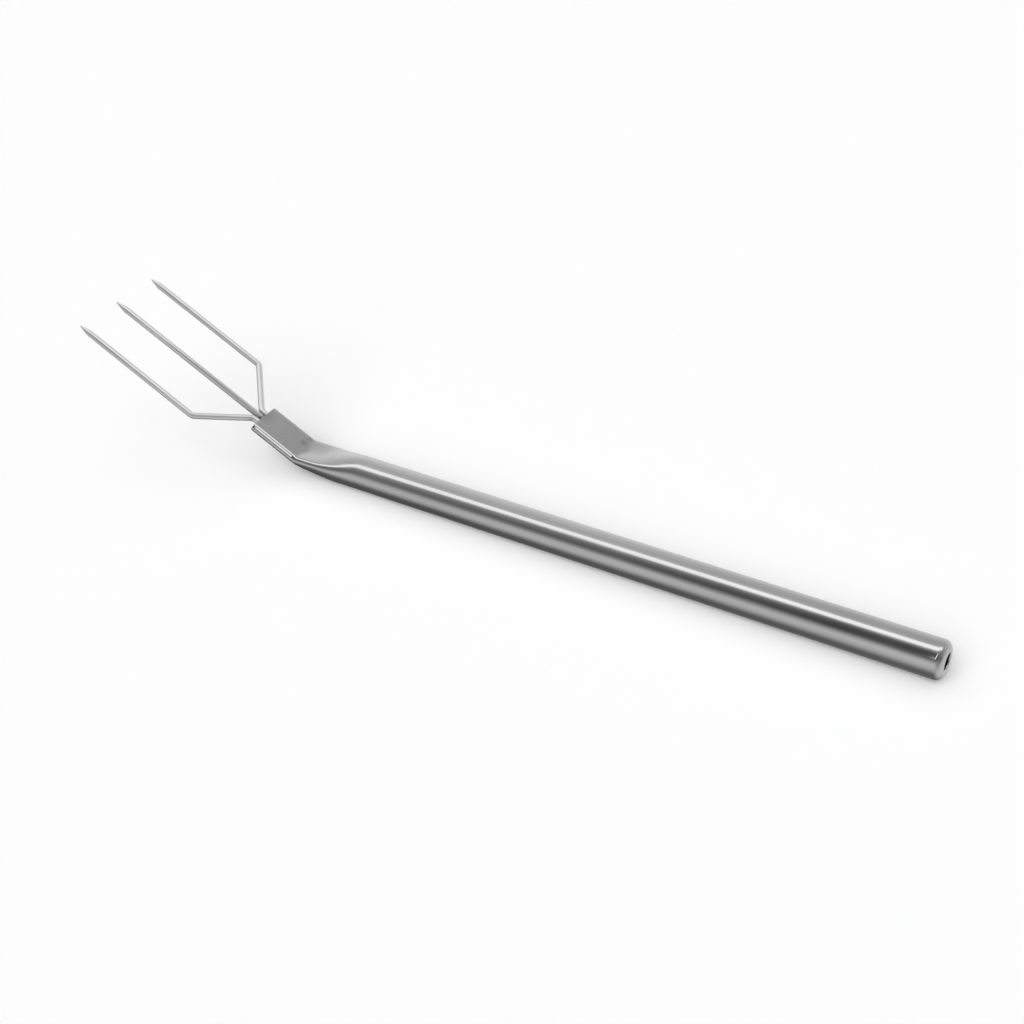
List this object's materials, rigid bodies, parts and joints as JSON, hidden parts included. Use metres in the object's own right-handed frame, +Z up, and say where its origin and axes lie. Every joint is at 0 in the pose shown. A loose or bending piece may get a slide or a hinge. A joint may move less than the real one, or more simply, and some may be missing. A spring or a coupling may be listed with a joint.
{
  "type": "uncapping fork",
  "caption": "Stainless uncapping fork: a round tube handle, pressed flat and bent up at the front, holds a row of thin pointed wire tines, the outer ones splayed and then parallel.",
  "frame": {"origin": "middle of the overall length, on the fork's plane of symmetry, on the surface that the round handle lies on", "axes": "+X along the handle towards its open butt end, the tines pointing to -X; +Y across the fork towards the right tine; +Z up, the way the pressed end is bent"},
  "size_m": [0.2064, 0.0254, 0.0336],
  "materials": {
    "tube_steel": "satin, drawn and lightly polished along its length",
    "wire_steel": "satin drawn wire, ground at the points"
  },
  "bodies": {
    "root": {"handle_tube": "tube_steel", "left_tine": "wire_steel", "centre_tine": "wire_steel", "right_tine": "wire_steel"}
  },
  "joints": []
}
